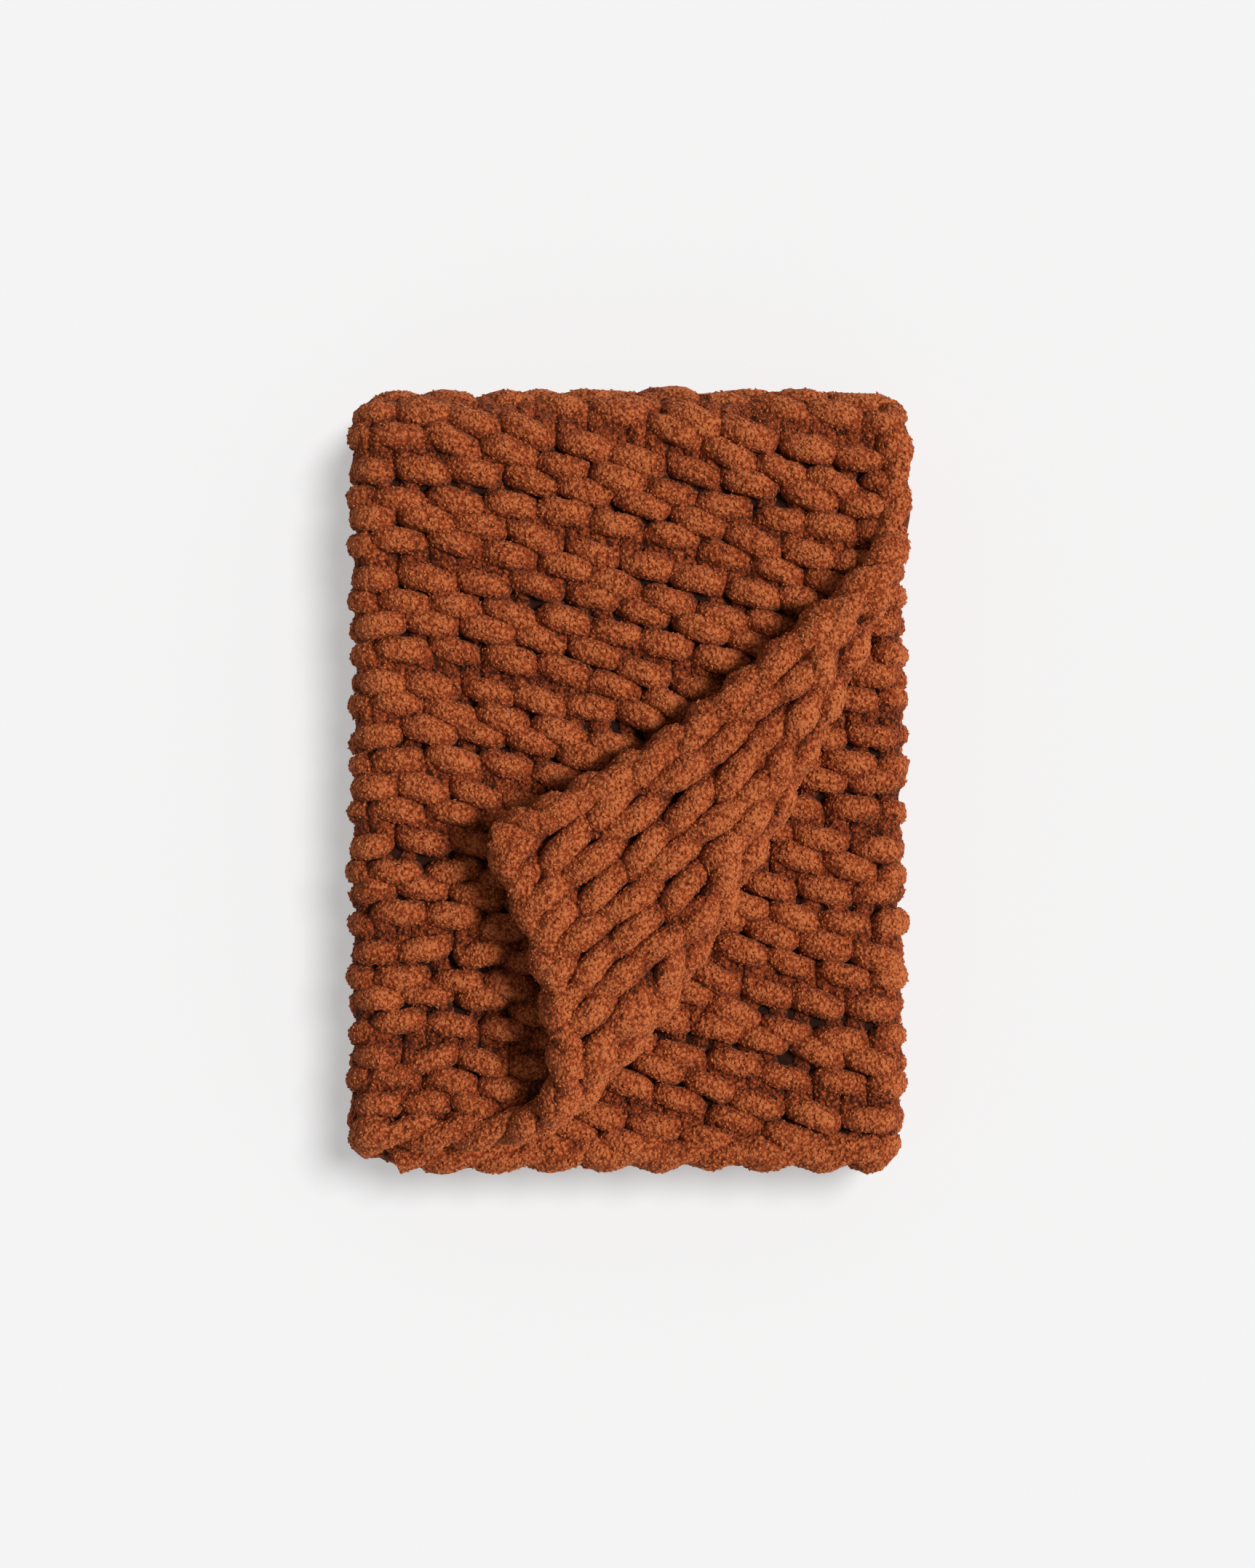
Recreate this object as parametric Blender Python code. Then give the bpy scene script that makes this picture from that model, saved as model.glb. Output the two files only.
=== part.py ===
"""A chunky knitted blanket, folded in thirds and then in half, with one corner of its top layer turned back.

Units are metres. X runs across the packet, Y from its open end to its folded end, and Z up. The
origin is the middle of the face that the packet rests on.

The blanket is one piece of knitting, so it is one solid. It is made flat first, as a slab whose
points are (across, along, height), with the stitches raised where they will show. Every point is
then folded: across the cloth into three plies, along the cloth over the far end, and last the near
right corner of the top ply is rolled back over itself.
"""
import math

import bmesh
import bpy
import numpy as np

# The packet as it lies, seen from above
PACKET_WIDTH = 0.499
PACKET_LENGTH = 0.697
CORNER_RADIUS = 0.042

# The knitting: one stitch is this wide and this high, and each ply this thick
STITCH_WIDTH = 0.048
STITCH_HEIGHT = 0.0494
CLOTH = 0.024
PLY_GAP = 0.003
RELIEF = 0.0065
RIM = 0.011

# Each fold bulges less sideways than a half circle would, because the cloth's weight flattens it
LEFT_SQUASH = 0.8
RIGHT_SQUASH = 0.85
FAR_SQUASH = 0.62

# How far each ply stops short of the packet's near end, for the upper and the lower half
SHORT_UPPER = {"outer": 0.0285, "inner": 0.004, "middle": 0.0}
SHORT_LOWER = {"outer": 0.010, "inner": 0.002, "middle": 0.006}

# Flat stretches of the mesh: finer where stitches are raised
FINE_STEP = 0.008
SIDE_STEP = 0.0123
COARSE_STEP = 0.06
TURN_STEPS = 8
FACES_KEPT = 0.135

# The turned-back corner. The roll line is where the top ply starts to lift: it starts past the
# right edge and runs down to the near edge.
ROLL_START = (0.2535, 0.303)
ROLL_LENGTH = 0.815
ROLL_SAMPLES = 480
CORNER_CUT = 0.050
FLAP_REST = 0.044
FLAP_SETTLES_OVER = 0.100
FLAP_SHRINK = 0.93
# share of the roll line, heading in degrees below the leftward level
ROLL_HEADING = ((0.0, 69.0), (0.05, 69.0), (0.28, 64.0), (0.56, 57.0), (0.74, 47.0), (0.88, 27.0), (1.0, 23.0))
# share of the roll line, how far the roll reaches sideways, how high the flap lies above the ply
ROLL_SIZE = (
    (0.0, 0.0140, 0.031),
    (0.33, 0.0170, 0.034),
    (0.52, 0.0210, 0.039),
    (0.71, 0.0300, 0.049),
    (1.0, 0.0360, 0.056),
)

PLY = CLOTH + PLY_GAP
HALF_STACK = 1.5 * CLOTH + PLY_GAP
FAR_RADIUS = HALF_STACK + PLY_GAP / 2
LOWER_MIDDLE = HALF_STACK
UPPER_MIDDLE = LOWER_MIDDLE + 2 * FAR_RADIUS

# Where the flat stretches end and each turn starts
LEFT_TURN_X = -PACKET_WIDTH / 2 + LEFT_SQUASH * HALF_STACK
RIGHT_TURN_X = PACKET_WIDTH / 2 - RIGHT_SQUASH * (PLY / 2 + CLOTH / 2)
FAR_TURN_Y = PACKET_LENGTH / 2 - FAR_SQUASH * (FAR_RADIUS + HALF_STACK)
NEAR_Y = -PACKET_LENGTH / 2
FREE_EDGE_X = RIGHT_TURN_X + (PACKET_WIDTH / 2 - RIGHT_TURN_X) / RIGHT_SQUASH - 0.002
INNER_EDGE_X = LEFT_TURN_X + 0.006

# Lengths of cloth, measured along the middle of its thickness
OUTER_SPAN = FREE_EDGE_X - LEFT_TURN_X
LEFT_TURN = math.pi * PLY
INNER_SPAN = RIGHT_TURN_X - LEFT_TURN_X
RIGHT_TURN = math.pi * PLY / 2
MIDDLE_SPAN = RIGHT_TURN_X - INNER_EDGE_X
HALF_LENGTH = FAR_TURN_Y - NEAR_Y
FAR_TURN = math.pi * FAR_RADIUS

ACROSS_ENDS = np.cumsum([0, OUTER_SPAN, LEFT_TURN, INNER_SPAN, RIGHT_TURN, MIDDLE_SPAN])
ALONG_ENDS = np.cumsum([0, HALF_LENGTH, FAR_TURN, HALF_LENGTH])


def column(rows, index):
    return [row[index] for row in rows]


def ease(value, start, end):
    """0 up to start, 1 from end, and a smooth rise between."""
    share = np.clip((value - start) / (end - start), 0, 1)
    return share * share * (3 - 2 * share)


# The flat cloth


def stations(ends, steps):
    """Where the slab's grid lines lie: a step size for each stretch, and two lines at each rim."""
    found = []
    for start, end, step in zip(ends[:-1], ends[1:], steps):
        count = max(1, round((end - start) / step))
        found += list(np.linspace(start, end, count + 1)[:-1])
    end = ends[-1]
    inner = [value for value in found if 1.4 * RIM < value < end - 1.4 * RIM]
    return np.array([0, 0.3 * RIM, RIM, *inner, end - RIM, end - 0.3 * RIM, end])


def flat_slab():
    """The unfolded cloth as a closed slab, its grid lines closer together where stitches show."""
    across = stations(
        ACROSS_ENDS,
        [FINE_STEP, LEFT_TURN / TURN_STEPS, COARSE_STEP, RIGHT_TURN / TURN_STEPS, 1.25 * FINE_STEP],
    )
    along = stations(ALONG_ENDS, [FINE_STEP, FAR_TURN / (2 * TURN_STEPS), SIDE_STEP])
    cloth = bmesh.new()
    columns, rows = len(across) - 1, len(along) - 1
    bmesh.ops.create_grid(cloth, x_segments=columns, y_segments=rows, size=1)
    for vert in cloth.verts:
        i = round((vert.co.x + 1) / 2 * columns)
        j = round((vert.co.y + 1) / 2 * rows)
        vert.co = (across[i], along[j], CLOTH / 2)
    bmesh.ops.solidify(cloth, geom=cloth.faces[:], thickness=CLOTH)
    bmesh.ops.recalc_face_normals(cloth, faces=cloth.faces)
    return cloth


# Which part of the folded packet a point of the flat cloth goes to


def turn_angle(value, start, length):
    return np.clip((value - start) / length, 0, 1) * math.pi


def left_angle(across):
    return turn_angle(across, ACROSS_ENDS[1], LEFT_TURN)


def right_angle(across):
    return turn_angle(across, ACROSS_ENDS[3], RIGHT_TURN)


def far_angle(along):
    return turn_angle(along, ALONG_ENDS[1], FAR_TURN)


def on_outer(across):
    return across < ACROSS_ENDS[1] + 1e-6


def on_middle(across):
    return across > ACROSS_ENDS[4] - 1e-6


def on_top(across, along):
    """The ply that shows from above, with the corner that is turned back."""
    return on_outer(across) & (along < ALONG_ENDS[1] + 1e-6)


# Folding across: three plies, joined by a turn at the left and a smaller one at the right


def section(across, height):
    """The place across the packet, and the height above the middle ply."""
    left, right = left_angle(across), right_angle(across)
    done = ACROSS_ENDS
    x = FREE_EDGE_X - np.clip(across, 0, done[1])
    x = x + np.clip(across - done[2], 0, INNER_SPAN) - np.clip(across - done[4], 0, MIDDLE_SPAN)
    rise = PLY * np.cos(left) + height * np.cos(left) * np.cos(right)
    x = x - (PLY + height) * np.sin(left)
    rise = rise + PLY / 2 * (1 - np.cos(right))
    x = x + (PLY / 2 + height) * np.sin(right)
    return x, rise


def near_end(across, shorts):
    """Where each ply's near edge lies, eased from one ply to the next around the turns."""
    left, right = left_angle(across) / math.pi, right_angle(across) / math.pi
    outer, inner, middle = (shorts[name] for name in ("outer", "inner", "middle"))
    short = outer + (inner - outer) * left + (middle - inner) * right
    return NEAR_Y + short


def fold_flat(across, along, height):
    """Points of the packet before its corner is turned back."""
    x, rise = section(across, height)
    angle = far_angle(along)
    upper = np.clip(along / HALF_LENGTH, 0, 1)
    lower = np.clip((along - ALONG_ENDS[2]) / HALF_LENGTH, 0, 1)
    near_upper, near_lower = near_end(across, SHORT_UPPER), near_end(across, SHORT_LOWER)
    y = near_upper + upper * (FAR_TURN_Y - near_upper)
    y = y - lower * (FAR_TURN_Y - near_lower)
    y = y + (FAR_RADIUS + rise) * np.sin(angle)
    z = (LOWER_MIDDLE + FAR_RADIUS) + (FAR_RADIUS + rise) * np.cos(angle)
    return x, y, z


def squash(value, centre, amount, side):
    past = side * (value - centre)
    return np.where(past > 0, centre + side * amount * past, value)


def settle(x, y, z):
    """The packet's own weight flattens its folds, its corners are round, and its sides wander a little."""
    x = squash(x, LEFT_TURN_X, LEFT_SQUASH, -1)
    x = squash(x, RIGHT_TURN_X, RIGHT_SQUASH, 1)
    y = squash(y, FAR_TURN_Y, FAR_SQUASH, 1)
    in_x = np.clip((np.abs(x) - PACKET_WIDTH / 2 + CORNER_RADIUS) / CORNER_RADIUS, 0, 1.2)
    in_y = np.clip((np.abs(y) - PACKET_LENGTH / 2 + CORNER_RADIUS) / CORNER_RADIUS, 0, 1.2)
    pull = 0.30 * CORNER_RADIUS * in_x**1.5 * in_y**1.5
    x, y = x - np.sign(x) * pull, y - np.sign(y) * pull
    lift = z / (UPPER_MIDDLE + PLY)
    x = x + 0.0020 * np.sin(9.1 * y + 1.0) * lift + 0.0012 * np.sin(23.0 * y) * lift
    y = y + 0.0022 * np.sin(13.0 * x + 0.6) * lift
    z = z * (1 + 0.010 * np.sin(8.3 * x + 1.9) * np.cos(6.7 * y + 0.4))
    return x, y, z


# Turning the corner back


def roll_line():
    """Samples of the roll line: share, place, direction, outward side, reach and rise."""
    share = np.linspace(0, 1, ROLL_SAMPLES)
    heading = np.radians(np.interp(share, column(ROLL_HEADING, 0), column(ROLL_HEADING, 1)))
    direction = np.stack([-np.cos(heading), -np.sin(heading)], axis=1)
    step = ROLL_LENGTH / (ROLL_SAMPLES - 1)
    moves = (direction[1:] + direction[:-1]) / 2 * step
    place = np.array(ROLL_START) + np.concatenate([np.zeros((1, 2)), np.cumsum(moves, axis=0)])
    outward = np.stack([-direction[:, 1], direction[:, 0]], axis=1)
    reach = np.interp(share, column(ROLL_SIZE, 0), column(ROLL_SIZE, 1))
    rise = np.interp(share, column(ROLL_SIZE, 0), column(ROLL_SIZE, 2))
    return place, direction, outward, reach, rise


ROLL = roll_line()


def past_roll(x, y):
    """The nearest sample of the roll line, and how far past it each point lies."""
    place, direction, outward, _, _ = ROLL
    points = np.stack([x, y], axis=1)
    nearest = np.array([np.argmin(((place - point) ** 2).sum(axis=1)) for point in points], int)
    away = points - place[nearest]
    past = (away * outward[nearest]).sum(axis=1)
    foot = points - past[:, None] * outward[nearest]
    return nearest, foot, past


def cut_corner(x, y):
    """The turned corner is blunt: its point is drawn in to an arc."""
    edge_x, edge_y = PACKET_WIDTH / 2, NEAR_Y + SHORT_UPPER["outer"]
    in_x = np.clip((x - edge_x + CORNER_CUT) / CORNER_CUT, 0, 1)
    in_y = np.clip((edge_y + CORNER_CUT - y) / CORNER_CUT, 0, 1)
    pull = 0.293 * CORNER_CUT * in_x**1.5 * in_y**1.5
    return x - pull, y + pull


def turn_back(x, y, height):
    """The top ply with its corner rolled up, over and back down to lie on itself."""
    x, y = cut_corner(x, y)
    nearest, foot, past = past_roll(x, y)
    _, _, outward, reach, rise = ROLL
    side, reach, rise = outward[nearest], reach[nearest], rise[nearest]
    half_turn = math.pi * reach
    angle = np.clip(past / reach, 0, math.pi)
    beyond = FLAP_SHRINK * np.clip(past - half_turn, 0, None)
    rest = np.minimum(rise, FLAP_REST)
    sinking = np.exp(-((beyond / FLAP_SETTLES_OVER) ** 2))
    out = reach * np.sin(angle) - beyond + np.minimum(past, 0)
    up = np.where(beyond > 0, rest + (rise - rest) * sinking, rise / 2 * (1 - np.cos(angle)))
    slope = np.where(beyond > 0, -(rise - rest) * sinking * 2 * beyond / FLAP_SETTLES_OVER**2, 0)
    along_out = np.where(beyond > 0, -1, np.cos(angle))
    along_up = np.where(beyond > 0, slope, rise / (2 * reach) * np.sin(angle))
    size = np.hypot(along_out, along_up)
    out = out - height * along_up / size
    up = up + height * along_out / size
    return foot[:, 0] + out * side[:, 0], foot[:, 1] + out * side[:, 1], up


# Raised stitches


def oval(along, across, half_length, half_width, slant):
    """Height from 0 to 1 of one yarn bump, an oval whose length is turned by slant."""
    turned_along = along * math.cos(slant) + across * math.sin(slant)
    turned_across = across * math.cos(slant) - along * math.sin(slant)
    inside = 1 - (turned_along / half_length) ** 2 - (turned_across / half_width) ** 2
    return np.sqrt(np.clip(inside, 0, None))


def purl_bumps(across, along):
    """The front of the cloth: rows of bumps, two for each knitted row, set like bricks."""
    row = np.round(2 * along / STITCH_HEIGHT)
    height = np.zeros_like(across)
    for next_row in (row - 1, row, row + 1):
        shift = 0.5 * (next_row % 2)
        stitch = np.round(across / STITCH_WIDTH - shift)
        for next_stitch in (stitch - 1, stitch, stitch + 1):
            from_x = across - (next_stitch + shift) * STITCH_WIDTH
            from_y = along - next_row * STITCH_HEIGHT / 2
            bump = oval(from_x, from_y, 0.62 * STITCH_WIDTH, 0.30 * STITCH_HEIGHT, math.radians(20))
            height = np.maximum(height, bump)
    return height


def knit_legs(across, along):
    """The back of the cloth: two slanting legs for each stitch, which make a column of Vs."""
    row = np.round(along / STITCH_HEIGHT)
    stitch = np.round(across / STITCH_WIDTH)
    height = np.zeros_like(across)
    for next_row in (row - 1, row, row + 1):
        for next_stitch in (stitch - 1, stitch, stitch + 1):
            for side in (-1, 1):
                from_x = across - (next_stitch + side * 0.25) * STITCH_WIDTH
                from_y = along - next_row * STITCH_HEIGHT
                lean = math.radians(90 - side * 20)
                bump = oval(from_x, from_y, 0.66 * STITCH_HEIGHT, 0.27 * STITCH_WIDTH, lean)
                height = np.maximum(height, bump)
    return height


def front_shows(across, along):
    """How much of the front's relief is kept: 1 where it shows, 0 where plies lie on each other."""
    left, right, far = left_angle(across), right_angle(across), far_angle(along)
    over_the_end = np.where(far < math.pi / 2, 1, np.sin(far))
    round_the_left = np.where(left < math.pi / 2, over_the_end, 0)
    shows = np.where(on_outer(across), over_the_end, round_the_left)
    shows = np.maximum(shows, np.sin(left) ** 2)
    return np.maximum(shows, np.sin(right) ** 2)


def relief(across, along, is_front):
    """How far each point of a face is raised or sunk by its stitch."""
    x, y, _ = fold_flat(across, along, np.zeros_like(across))
    _, _, past = past_roll(x, y)
    reach = ROLL[3].max()
    top = on_top(across, along)
    rolled = ease(past, 0.8 * reach, 2.0 * reach)
    bared = ease(past, 0.010, 0.026) + ease(-y, -NEAR_Y - 0.030, -NEAR_Y - 0.020)
    bared = np.where(on_middle(across) & (along < ALONG_ENDS[1]), np.clip(bared, 0, 1), 0)
    front = np.where(top, 1 - rolled, np.maximum(front_shows(across, along), bared))
    back = np.where(top, rolled, 0)
    raised_front = front * (purl_bumps(across, along) - 0.45)
    raised_back = back * (knit_legs(across, along) - 0.45)
    return RELIEF * np.where(is_front, raised_front, raised_back)


def rim_share(across, along):
    """The cloth thins to a rounded rim along its four free edges."""
    from_side = np.minimum(across, ACROSS_ENDS[-1] - across)
    from_end = np.minimum(along, ALONG_ENDS[-1] - along)
    inward = np.clip(np.minimum(from_side, from_end) / RIM, 0, 1)
    return 0.35 + 0.65 * np.sqrt(1 - (1 - inward) ** 2)


# Putting it together


def folded_points(points):
    across, along, height = points.T
    is_front = height > 0
    raised = relief(across, along, is_front)
    height = (height + np.where(is_front, raised, -raised)) * rim_share(across, along)
    x, y, z = settle(*fold_flat(across, along, height))
    top = on_top(across, along)
    flat_x, flat_y, flat_z = settle(*fold_flat(across[top], along[top], np.zeros(top.sum())))
    x[top], y[top], up = turn_back(flat_x, flat_y, height[top])
    z[top] = flat_z + up
    return np.stack([x, y, z], axis=1)


def fold(cloth):
    points = np.array([vert.co for vert in cloth.verts])
    for vert, place in zip(cloth.verts, folded_points(points)):
        vert.co = place
    # The cloth runs leftward from its free edge, which mirrors the slab, so its faces turn round.
    bmesh.ops.reverse_faces(cloth, faces=cloth.faces)


def yarn_material():
    material = bpy.data.materials.new("rust_chenille_yarn")
    material.use_nodes = True
    shader = material.node_tree.nodes["Principled BSDF"]
    shader.inputs["Base Color"].default_value = (0.41, 0.105, 0.03, 1)
    shader.inputs["Roughness"].default_value = 0.95
    shader.inputs["Metallic"].default_value = 0.0
    return material


def clear_scene():
    for obj in list(bpy.data.objects):
        bpy.data.objects.remove(obj)


def make_blanket():
    cloth = flat_slab()
    fold(cloth)
    mesh = bpy.data.meshes.new("knit_cloth")
    cloth.to_mesh(mesh)
    cloth.free()
    mesh.shade_smooth()
    mesh.materials.append(yarn_material())
    blanket = bpy.data.objects.new("knit_cloth", mesh)
    # The fine grid is thinned where the folded cloth is flat, and kept where stitches are raised.
    thin = blanket.modifiers.new("thin_flat_faces", "DECIMATE")
    thin.ratio = FACES_KEPT
    collection = bpy.data.collections.new("Chunky_knit_blanket")
    bpy.context.scene.collection.children.link(collection)
    collection.objects.link(blanket)


clear_scene()
make_blanket()
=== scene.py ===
# %% [markdown]
# A chunky chenille blanket, folded, with one corner turned back
#
# The real blanket is knitted by hand, on big needles, from one rope of chenille as thick as a
# finger. It lies folded in thirds and then in half, and the near right corner of its top layer is
# rolled back over itself. In this lesson we knit it the same way: each row of stitches is a path,
# each path is folded with the cloth, a tube of yarn is swept along it, and a short pile is planted
# on the yarn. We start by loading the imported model, which says where the folded cloth lies.

# %% Load the frame
import math

import bpy
import numpy as np
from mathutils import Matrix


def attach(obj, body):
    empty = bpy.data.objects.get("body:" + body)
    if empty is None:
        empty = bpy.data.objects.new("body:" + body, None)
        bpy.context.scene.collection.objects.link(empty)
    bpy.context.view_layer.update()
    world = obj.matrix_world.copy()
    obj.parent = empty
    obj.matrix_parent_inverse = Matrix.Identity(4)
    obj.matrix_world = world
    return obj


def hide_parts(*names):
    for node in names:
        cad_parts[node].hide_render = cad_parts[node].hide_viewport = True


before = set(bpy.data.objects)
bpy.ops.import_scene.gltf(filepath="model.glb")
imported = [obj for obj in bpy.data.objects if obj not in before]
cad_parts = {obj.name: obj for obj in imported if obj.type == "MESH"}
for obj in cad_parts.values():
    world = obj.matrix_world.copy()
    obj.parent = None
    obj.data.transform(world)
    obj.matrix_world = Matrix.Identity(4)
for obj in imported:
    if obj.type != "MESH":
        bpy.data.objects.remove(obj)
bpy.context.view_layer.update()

# %% [markdown]
# The sizes of the folded packet
#
# These are the same driving sizes that the solid was built from, in metres. The cloth is described
# in its own flat space first: a point has a place across the cloth, a place along it, and a height
# above the middle of its thickness. The front of the knitting is the side with the purl bumps.

# %% Sizes of the packet and its folds
PACKET_WIDTH = 0.499
PACKET_LENGTH = 0.697
CORNER_RADIUS = 0.042
CLOTH = 0.024
PLY_GAP = 0.003
LEFT_SQUASH = 0.8
RIGHT_SQUASH = 0.85
FAR_SQUASH = 0.62
SHORT_UPPER = {"outer": 0.0285, "inner": 0.004, "middle": 0.0}
SHORT_LOWER = {"outer": 0.010, "inner": 0.002, "middle": 0.006}

PLY = CLOTH + PLY_GAP
HALF_STACK = 1.5 * CLOTH + PLY_GAP
FAR_RADIUS = HALF_STACK + PLY_GAP / 2
LOWER_MIDDLE = HALF_STACK
UPPER_MIDDLE = LOWER_MIDDLE + 2 * FAR_RADIUS
LEFT_TURN_X = -PACKET_WIDTH / 2 + LEFT_SQUASH * HALF_STACK
RIGHT_TURN_X = PACKET_WIDTH / 2 - RIGHT_SQUASH * (PLY / 2 + CLOTH / 2)
FAR_TURN_Y = PACKET_LENGTH / 2 - FAR_SQUASH * (FAR_RADIUS + HALF_STACK)
NEAR_Y = -PACKET_LENGTH / 2
FREE_EDGE_X = RIGHT_TURN_X + (PACKET_WIDTH / 2 - RIGHT_TURN_X) / RIGHT_SQUASH - 0.002
INNER_EDGE_X = LEFT_TURN_X + 0.006

OUTER_SPAN = FREE_EDGE_X - LEFT_TURN_X
LEFT_TURN = math.pi * PLY
INNER_SPAN = RIGHT_TURN_X - LEFT_TURN_X
RIGHT_TURN = math.pi * PLY / 2
MIDDLE_SPAN = RIGHT_TURN_X - INNER_EDGE_X
HALF_LENGTH = FAR_TURN_Y - NEAR_Y
FAR_TURN = math.pi * FAR_RADIUS
ACROSS_ENDS = np.cumsum([0, OUTER_SPAN, LEFT_TURN, INNER_SPAN, RIGHT_TURN, MIDDLE_SPAN])
ALONG_ENDS = np.cumsum([0, HALF_LENGTH, FAR_TURN, HALF_LENGTH])
FLAT_WIDTH, FLAT_LENGTH = float(ACROSS_ENDS[-1]), float(ALONG_ENDS[-1])
print(f"unfolded, the blanket is {FLAT_WIDTH:.3f} by {FLAT_LENGTH:.3f} m")

# %% [markdown]
# Folding a point of the flat cloth
#
# A real fold is a half turn round its neighbour, so folding is arithmetic: flat stretches move a
# point sideways, and turns move it round an arc whose radius grows with its height in the cloth.
# We could also let a cloth simulation fold it, but six thick plies would never settle this neatly,
# and the arcs keep every ply exactly where the solid has it.

# %% Fold in thirds, then in half


def turn_angle(value, start, length):
    return np.clip((value - start) / length, 0, 1) * math.pi


def section(across, height):
    """The place across the packet, and the height above the middle ply."""
    left = turn_angle(across, ACROSS_ENDS[1], LEFT_TURN)
    right = turn_angle(across, ACROSS_ENDS[3], RIGHT_TURN)
    done = ACROSS_ENDS
    x = FREE_EDGE_X - np.clip(across, 0, done[1])
    x = x + np.clip(across - done[2], 0, INNER_SPAN) - np.clip(across - done[4], 0, MIDDLE_SPAN)
    rise = PLY * np.cos(left) + height * np.cos(left) * np.cos(right)
    x = x - (PLY + height) * np.sin(left)
    rise = rise + PLY / 2 * (1 - np.cos(right))
    x = x + (PLY / 2 + height) * np.sin(right)
    return x, rise


def near_end(across, shorts):
    """Where each ply's near edge lies, eased from one ply to the next round the turns."""
    left = turn_angle(across, ACROSS_ENDS[1], LEFT_TURN) / math.pi
    right = turn_angle(across, ACROSS_ENDS[3], RIGHT_TURN) / math.pi
    outer, inner, middle = (shorts[name] for name in ("outer", "inner", "middle"))
    return NEAR_Y + outer + (inner - outer) * left + (middle - inner) * right


def fold_flat(across, along, height):
    """Points of the packet before its corner is turned back."""
    x, rise = section(across, height)
    angle = turn_angle(along, ALONG_ENDS[1], FAR_TURN)
    upper = np.clip(along / HALF_LENGTH, 0, 1)
    lower = np.clip((along - ALONG_ENDS[2]) / HALF_LENGTH, 0, 1)
    near_upper, near_lower = near_end(across, SHORT_UPPER), near_end(across, SHORT_LOWER)
    y = near_upper + upper * (FAR_TURN_Y - near_upper)
    y = y - lower * (FAR_TURN_Y - near_lower)
    y = y + (FAR_RADIUS + rise) * np.sin(angle)
    z = (LOWER_MIDDLE + FAR_RADIUS) + (FAR_RADIUS + rise) * np.cos(angle)
    return x, y, z


def squash(value, centre, amount, side):
    past = side * (value - centre)
    return np.where(past > 0, centre + side * amount * past, value)


def settle(x, y, z):
    """The packet's own weight flattens its folds, its corners are round, and its sides wander."""
    x = squash(x, LEFT_TURN_X, LEFT_SQUASH, -1)
    x = squash(x, RIGHT_TURN_X, RIGHT_SQUASH, 1)
    y = squash(y, FAR_TURN_Y, FAR_SQUASH, 1)
    in_x = np.clip((np.abs(x) - PACKET_WIDTH / 2 + CORNER_RADIUS) / CORNER_RADIUS, 0, 1.2)
    in_y = np.clip((np.abs(y) - PACKET_LENGTH / 2 + CORNER_RADIUS) / CORNER_RADIUS, 0, 1.2)
    pull = 0.30 * CORNER_RADIUS * in_x**1.5 * in_y**1.5
    x, y = x - np.sign(x) * pull, y - np.sign(y) * pull
    lift = z / (UPPER_MIDDLE + PLY)
    x = x + 0.0020 * np.sin(9.1 * y + 1.0) * lift + 0.0012 * np.sin(23.0 * y) * lift
    y = y + 0.0022 * np.sin(13.0 * x + 0.6) * lift
    z = z * (1 + 0.010 * np.sin(8.3 * x + 1.9) * np.cos(6.7 * y + 0.4))
    return x, y, z


# %% [markdown]
# Turning the corner back
#
# The near right corner of the top ply is lifted along a curved line, rolled over and laid back
# down. The line is drawn by its heading at a few shares of its length, and the roll grows wider
# and higher towards the near end, where it stands open. A point past the line goes round the
# roll, and the rest of the flap runs back over the ply, a little above it.

# %% The roll line and the rolled corner
ROLL_START = (0.2535, 0.303)
ROLL_LENGTH = 0.815
ROLL_SAMPLES = 480
CORNER_CUT = 0.050
FLAP_REST = 0.044
FLAP_SETTLES_OVER = 0.100
FLAP_SHRINK = 0.93
# share of the roll line, heading in degrees below the leftward level
ROLL_HEADING = (
    (0.0, 69.0), (0.05, 69.0), (0.28, 64.0), (0.56, 57.0), (0.74, 47.0), (0.88, 27.0), (1.0, 23.0),
)
# share of the roll line, how far the roll reaches sideways, how high the flap lies above the ply
ROLL_SIZE = (
    (0.0, 0.0140, 0.031),
    (0.33, 0.0170, 0.034),
    (0.52, 0.0210, 0.039),
    (0.71, 0.0300, 0.049),
    (1.0, 0.0360, 0.056),
)


def column(rows, index):
    return [row[index] for row in rows]


def roll_line():
    """Samples of the roll line: place, outward side, reach and rise."""
    share = np.linspace(0, 1, ROLL_SAMPLES)
    heading = np.radians(np.interp(share, column(ROLL_HEADING, 0), column(ROLL_HEADING, 1)))
    direction = np.stack([-np.cos(heading), -np.sin(heading)], axis=1)
    moves = (direction[1:] + direction[:-1]) / 2 * ROLL_LENGTH / (ROLL_SAMPLES - 1)
    place = np.array(ROLL_START) + np.concatenate([np.zeros((1, 2)), np.cumsum(moves, axis=0)])
    outward = np.stack([-direction[:, 1], direction[:, 0]], axis=1)
    reach = np.interp(share, column(ROLL_SIZE, 0), column(ROLL_SIZE, 1))
    rise = np.interp(share, column(ROLL_SIZE, 0), column(ROLL_SIZE, 2))
    return place, outward, reach, rise


ROLL = roll_line()


def past_roll(x, y):
    """The nearest sample of the roll line, its foot, and how far past it each point lies."""
    place, outward, _, _ = ROLL
    points = np.stack([x, y], axis=1)
    nearest = np.array([np.argmin(((place - point) ** 2).sum(axis=1)) for point in points], int)
    past = ((points - place[nearest]) * outward[nearest]).sum(axis=1)
    return nearest, points - past[:, None] * outward[nearest], past


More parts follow.
